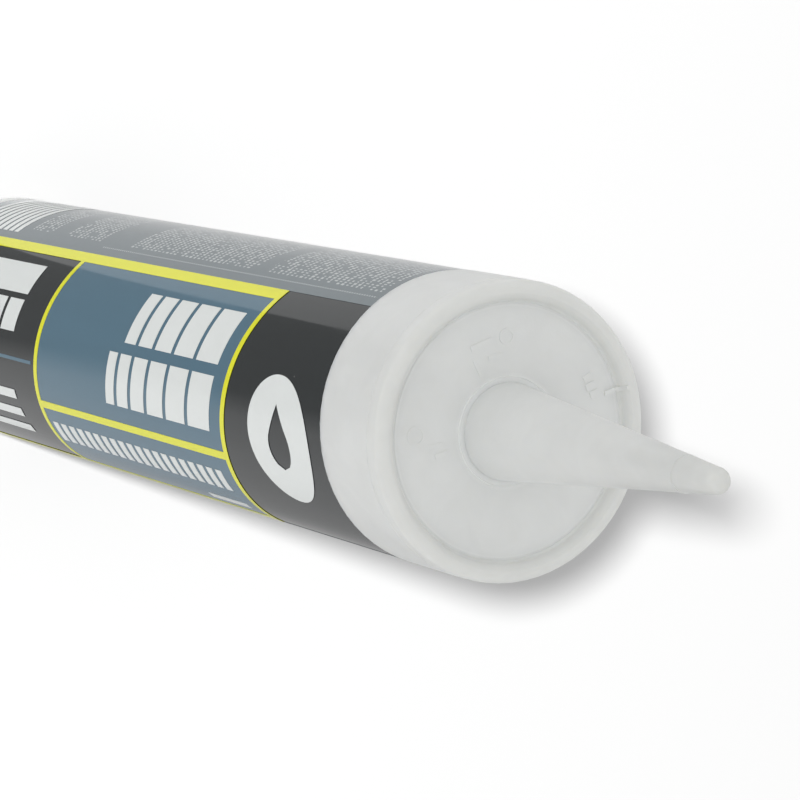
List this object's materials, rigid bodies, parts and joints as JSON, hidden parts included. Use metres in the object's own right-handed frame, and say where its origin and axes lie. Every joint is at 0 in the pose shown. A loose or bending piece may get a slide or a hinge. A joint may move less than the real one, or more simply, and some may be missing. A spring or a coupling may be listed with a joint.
{
  "type": "construction adhesive cartridge",
  "caption": "Round plastic adhesive cartridge with a closed conical nozzle on its front wall, a printed label film, a sliding plunger behind and a paste fill.",
  "frame": {"origin": "middle of the rear rim, on the plane that the cartridge stands on", "axes": "+Z along the barrel towards the nozzle; the printed front of the label faces -Y"},
  "size_m": [0.05, 0.05, 0.2787],
  "materials": {
    "moulding": "satin white polyethylene, slightly translucent",
    "label_black": "glossy printed film, black",
    "label_grey": "glossy printed film, charcoal",
    "label_blue": "glossy printed film, slate blue",
    "label_yellow": "glossy printed film, yellow",
    "label_white": "glossy printed film, white",
    "plunger": "satin white polyethylene",
    "adhesive": "smooth beige paste"
  },
  "bodies": {
    "cartridge": {"cartridge_body": "moulding", "label_film": "label_black", "label_back_panel": "label_grey", "label_blue_panel": "label_blue", "label_yellow_rules": "label_yellow", "label_white_print": "label_white", "adhesive": "adhesive"},
    "plunger": {"plunger": "plunger"}
  },
  "joints": [
    {"name": "plunger_slide", "type": "slide", "parent": "cartridge", "child": "plunger", "axis": [0, 0, 1], "range_m": [0, 0.175], "deforming": ["adhesive"]}
  ]
}
